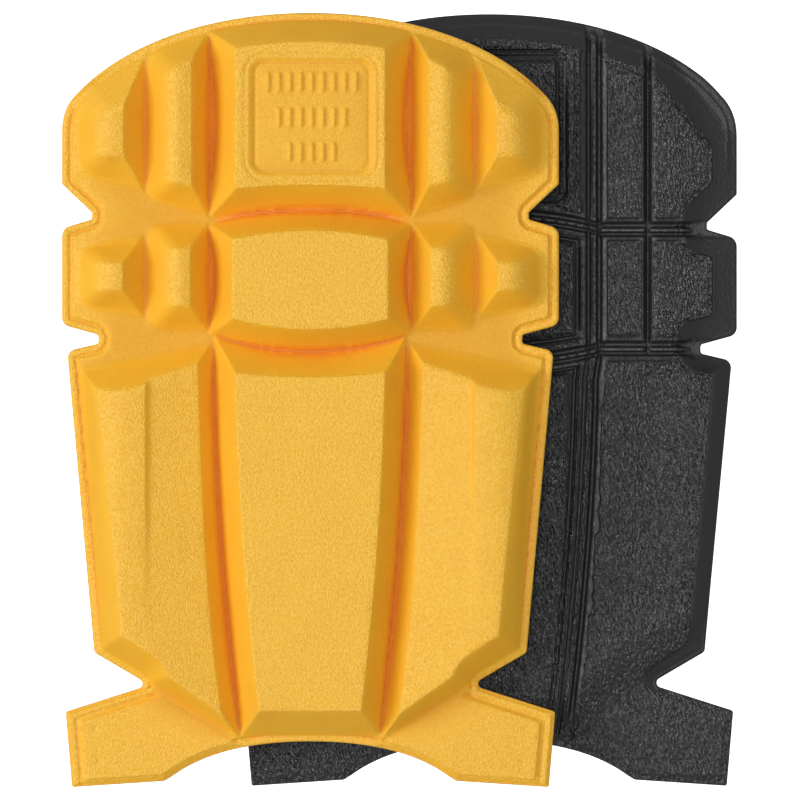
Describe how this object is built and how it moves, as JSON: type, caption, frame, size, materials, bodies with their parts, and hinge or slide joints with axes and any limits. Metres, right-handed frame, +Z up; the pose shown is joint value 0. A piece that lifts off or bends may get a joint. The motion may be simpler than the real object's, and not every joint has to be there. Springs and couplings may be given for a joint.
{
  "type": "knee pads",
  "caption": "Two-layer moulded-foam knee pads for trouser knee pockets, with flex grooves and thin end tabs, lying shell to shell.",
  "frame": {"origin": "centre of the pair's outline, on the surface that the pair lies on", "axes": "+Y up the leg, towards the pads' rounded upper ends; +X to the right, towards the lower pad of the stack; +Z up"},
  "size_m": [0.2094, 0.24, 0.0423],
  "materials": {
    "cushion_foam": "matte",
    "shell_foam": "satin"
  },
  "bodies": {
    "right_pad_lower": {"right_pad_lower_cushion": "cushion_foam", "right_pad_lower_shell": "shell_foam"},
    "right_pad_middle": {"right_pad_middle_cushion": "cushion_foam", "right_pad_middle_shell": "shell_foam"},
    "right_pad_upper": {"right_pad_upper_cushion": "cushion_foam", "right_pad_upper_shell": "shell_foam"},
    "right_pad_inner_tab": {"right_pad_inner_tab_cushion": "cushion_foam", "right_pad_inner_tab_shell": "shell_foam"},
    "right_pad_outer_tab": {"right_pad_outer_tab_cushion": "cushion_foam", "right_pad_outer_tab_shell": "shell_foam"},
    "left_pad_lower": {"left_pad_lower_cushion": "cushion_foam", "left_pad_lower_shell": "shell_foam"},
    "left_pad_middle": {"left_pad_middle_cushion": "cushion_foam", "left_pad_middle_shell": "shell_foam"},
    "left_pad_upper": {"left_pad_upper_cushion": "cushion_foam", "left_pad_upper_shell": "shell_foam"},
    "left_pad_inner_tab": {"left_pad_inner_tab_cushion": "cushion_foam", "left_pad_inner_tab_shell": "shell_foam"},
    "left_pad_outer_tab": {"left_pad_outer_tab_cushion": "cushion_foam", "left_pad_outer_tab_shell": "shell_foam"}
  },
  "joints": [
    {"name": "left_pad_lift", "type": "slide", "parent": "right_pad_lower", "child": "left_pad_lower", "axis": [0, 0, 1], "range_m": [0, 0.12]},
    {"name": "left_pad_knee_flex", "type": "hinge", "parent": "left_pad_lower", "child": "left_pad_middle", "pos_m": [-0.02775, 0.0176, 0.0283], "axis": [1, 0, 0], "range_deg": [0, 40], "stiffness_Nm_per_rad": 0.5},
    {"name": "left_pad_thigh_flex", "type": "hinge", "parent": "left_pad_middle", "child": "left_pad_upper", "pos_m": [-0.02775, 0.0571, 0.0283], "axis": [1, 0, 0], "range_deg": [0, 40], "stiffness_Nm_per_rad": 0.5},
    {"name": "left_pad_inner_tab_fold", "type": "hinge", "parent": "left_pad_lower", "child": "left_pad_inner_tab", "pos_m": [0.02345, -0.0881, 0.0283], "axis": [-0.8542, -0.5199, 0], "range_deg": [0, 30], "stiffness_Nm_per_rad": 0.1},
    {"name": "left_pad_outer_tab_fold", "type": "hinge", "parent": "left_pad_lower", "child": "left_pad_outer_tab", "pos_m": [-0.07895, -0.0881, 0.0283], "axis": [-0.8542, 0.5199, 0], "range_deg": [0, 30], "stiffness_Nm_per_rad": 0.1},
    {"name": "right_pad_knee_flex", "type": "hinge", "parent": "right_pad_lower", "child": "right_pad_middle", "pos_m": [0.02775, 0.0146, 0.014], "axis": [-1, 0, 0], "range_deg": [0, 40], "stiffness_Nm_per_rad": 0.5},
    {"name": "right_pad_thigh_flex", "type": "hinge", "parent": "right_pad_middle", "child": "right_pad_upper", "pos_m": [0.02775, 0.0541, 0.014], "axis": [-1, 0, 0], "range_deg": [0, 40], "stiffness_Nm_per_rad": 0.5},
    {"name": "right_pad_inner_tab_fold", "type": "hinge", "parent": "right_pad_lower", "child": "right_pad_inner_tab", "pos_m": [-0.02345, -0.0881, 0.014], "axis": [0.8542, -0.5199, 0], "range_deg": [0, 30], "stiffness_Nm_per_rad": 0.1},
    {"name": "right_pad_outer_tab_fold", "type": "hinge", "parent": "right_pad_lower", "child": "right_pad_outer_tab", "pos_m": [0.07895, -0.0881, 0.014], "axis": [0.8542, 0.5199, 0], "range_deg": [0, 30], "stiffness_Nm_per_rad": 0.1}
  ]
}
